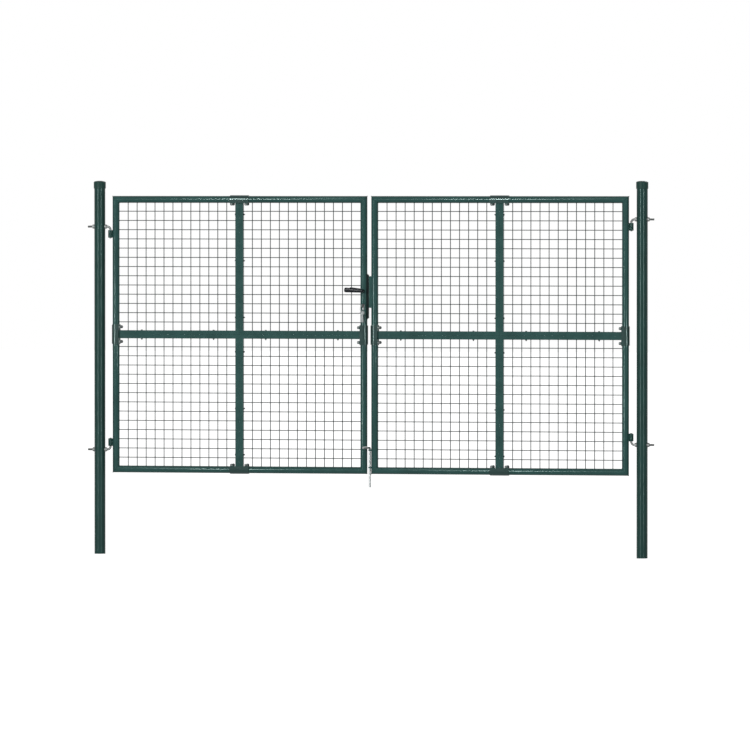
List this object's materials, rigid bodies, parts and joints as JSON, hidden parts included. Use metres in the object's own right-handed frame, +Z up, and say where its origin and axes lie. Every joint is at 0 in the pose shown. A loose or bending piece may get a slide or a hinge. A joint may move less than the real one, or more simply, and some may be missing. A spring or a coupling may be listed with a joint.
{
  "type": "double garden gate",
  "caption": "Double swing gate of green tube frames and welded wire mesh on round posts, with hook hinges, lever lock and drop bolt.",
  "frame": {"origin": "centre of the left post's foot, seen from the side with the drop bolt's handle", "axes": "+X along the closed gate to the right post, +Y to the back, +Z up"},
  "size_m": [3.132, 0.128, 2.024],
  "materials": {
    "green_coat": "satin dark green powder coat on steel tube",
    "green_cap": "dark green moulded plastic",
    "mesh_wire": "grey-green coated galvanised wire",
    "zinc": "dull galvanised steel",
    "black_lock": "black moulded plastic and black coated steel",
    "nickel": "nickel-plated brass"
  },
  "bodies": {
    "posts": {"left_post": "green_coat", "right_post": "green_coat", "left_post_cap": "green_cap", "right_post_cap": "green_cap", "left_upper_hook": "zinc", "left_lower_hook": "zinc", "right_upper_hook": "zinc", "right_lower_hook": "zinc", "hinge_washers": "zinc", "hinge_nuts": "zinc"},
    "left_leaf": {"left_frame_lower_hinge": "green_coat", "left_frame_upper_hinge": "green_coat", "left_frame_lower_lock": "green_coat", "left_frame_upper_lock": "green_coat", "left_mesh_lower_hinge": "mesh_wire", "left_mesh_upper_hinge": "mesh_wire", "left_mesh_lower_lock": "mesh_wire", "left_mesh_upper_lock": "mesh_wire", "left_sleeves": "green_coat", "left_sleeve_bolts": "zinc", "left_bar_bolts": "zinc", "left_knuckles": "green_coat", "lock_face_plate": "black_lock", "key_cylinder": "nickel", "hanging_keys": "nickel"},
    "right_leaf": {"right_frame_lower_hinge": "green_coat", "right_frame_upper_hinge": "green_coat", "right_frame_lower_lock": "green_coat", "right_frame_upper_lock": "green_coat", "right_mesh_lower_hinge": "mesh_wire", "right_mesh_upper_hinge": "mesh_wire", "right_mesh_lower_lock": "mesh_wire", "right_mesh_upper_lock": "mesh_wire", "right_sleeves": "green_coat", "right_sleeve_bolts": "zinc", "right_bar_bolts": "zinc", "right_knuckles": "green_coat", "strike_channel": "green_coat", "drop_bolt_guides": "green_coat"},
    "lever": {"lock_lever": "black_lock"},
    "latch": {"lock_latch": "zinc"},
    "drop_bolt": {"drop_bolt": "zinc"}
  },
  "joints": [
    {"name": "left_leaf_swing", "type": "hinge", "parent": "posts", "child": "left_leaf", "pos_m": [0.0595, 0, 0], "axis": [0, 0, 1], "range_deg": [0, 90]},
    {"name": "right_leaf_swing", "type": "hinge", "parent": "posts", "child": "right_leaf", "pos_m": [2.9405, 0, 0], "axis": [0, 0, -1], "range_deg": [0, 90]},
    {"name": "lever_turn", "type": "hinge", "parent": "left_leaf", "child": "lever", "pos_m": [1.47, 0, 1.43], "axis": [0, -1, 0], "range_deg": [0, 40], "stiffness_Nm_per_rad": 1.5, "springref_deg": -14.32},
    {"name": "latch_slide", "type": "slide", "parent": "left_leaf", "child": "latch", "axis": [-1, 0, 0], "range_m": [0, 0.011]},
    {"name": "drop_bolt_lift", "type": "slide", "parent": "right_leaf", "child": "drop_bolt", "axis": [0, 0, 1], "range_m": [0, 0.09]}
  ],
  "couplings": [
    {"joint": "latch_slide", "follows": "lever_turn", "m_per_rad": 0.0157}
  ]
}
